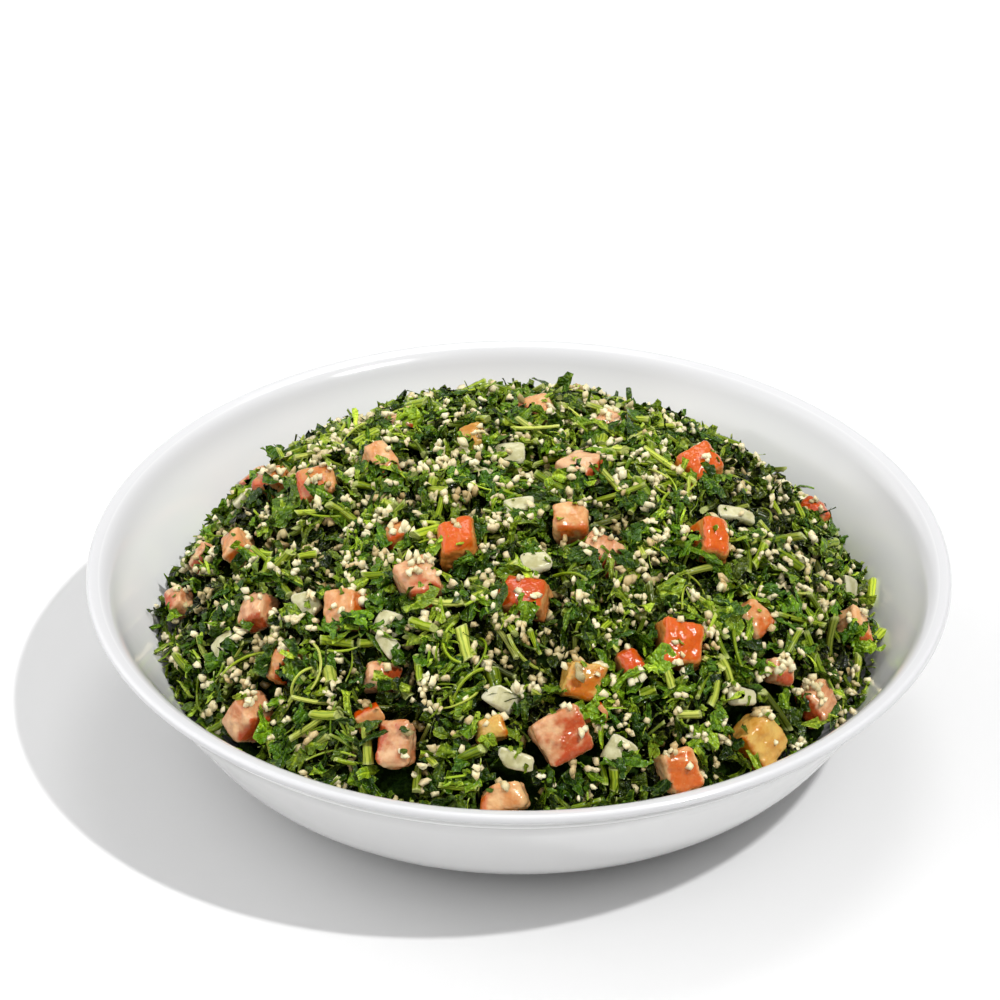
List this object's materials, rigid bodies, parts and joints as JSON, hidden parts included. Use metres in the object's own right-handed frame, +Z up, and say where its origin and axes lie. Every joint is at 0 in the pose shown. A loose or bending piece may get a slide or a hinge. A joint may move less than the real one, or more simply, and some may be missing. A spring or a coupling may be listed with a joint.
{
  "type": "tabbouleh salad in a bowl",
  "caption": "Heaped tabbouleh salad of chopped parsley, green stems, bulgur, diced tomato and onion in a shallow flared white serving bowl",
  "frame": {"origin": "centre of the plane that the bowl's foot ring stands on", "axes": "+Z up; +X to the right and -Y towards the viewer in the view that the salad is usually seen from"},
  "size_m": [0.23, 0.23, 0.0773],
  "materials": {
    "bowl": "smooth glossy white, plain",
    "tabbouleh_heap": "food: moist chopped parsley with green stems and off-white bulgur, dark in the gaps",
    "tomato_orange": "food: wet tomato die with its orange-red skin showing",
    "tomato_red": "food: wet red tomato die",
    "tomato_salmon": "food: wet salmon-coloured tomato flesh",
    "tomato_pink": "food: wet pink tomato flesh",
    "tomato_amber": "food: wet yellow-orange tomato flesh",
    "onion": "food: wet, partly see-through white-green onion"
  },
  "bodies": {
    "root": {"bowl": "bowl", "onion_01": "onion", "onion_02": "onion", "onion_03": "onion", "onion_04": "onion", "onion_05": "onion", "onion_06": "onion", "onion_07": "onion", "onion_08": "onion", "onion_09": "onion", "onion_10": "onion", "onion_11": "onion", "onion_12": "onion", "onion_13": "onion", "onion_14": "onion", "tabbouleh_heap": "tabbouleh_heap", "tomato_amber_13": "tomato_amber", "tomato_amber_18": "tomato_amber", "tomato_amber_26": "tomato_amber", "tomato_amber_37": "tomato_amber", "tomato_orange_01": "tomato_orange", "tomato_orange_05": "tomato_orange", "tomato_orange_08": "tomato_orange", "tomato_orange_12": "tomato_orange", "tomato_orange_39": "tomato_orange", "tomato_pink_04": "tomato_pink", "tomato_pink_07": "tomato_pink", "tomato_pink_10": "tomato_pink", "tomato_pink_17": "tomato_pink", "tomato_pink_19": "tomato_pink", "tomato_pink_21": "tomato_pink", "tomato_pink_22": "tomato_pink", "tomato_pink_23": "tomato_pink", "tomato_pink_28": "tomato_pink", "tomato_pink_29": "tomato_pink", "tomato_pink_30": "tomato_pink", "tomato_pink_32": "tomato_pink", "tomato_pink_34": "tomato_pink", "tomato_pink_36": "tomato_pink", "tomato_pink_40": "tomato_pink", "tomato_pink_42": "tomato_pink", "tomato_red_02": "tomato_red", "tomato_red_09": "tomato_red", "tomato_red_14": "tomato_red", "tomato_red_15": "tomato_red", "tomato_red_20": "tomato_red", "tomato_red_31": "tomato_red", "tomato_red_38": "tomato_red", "tomato_salmon_03": "tomato_salmon", "tomato_salmon_06": "tomato_salmon", "tomato_salmon_11": "tomato_salmon", "tomato_salmon_16": "tomato_salmon", "tomato_salmon_24": "tomato_salmon", "tomato_salmon_25": "tomato_salmon", "tomato_salmon_27": "tomato_salmon", "tomato_salmon_33": "tomato_salmon", "tomato_salmon_35": "tomato_salmon", "tomato_salmon_41": "tomato_salmon"}
  },
  "joints": []
}
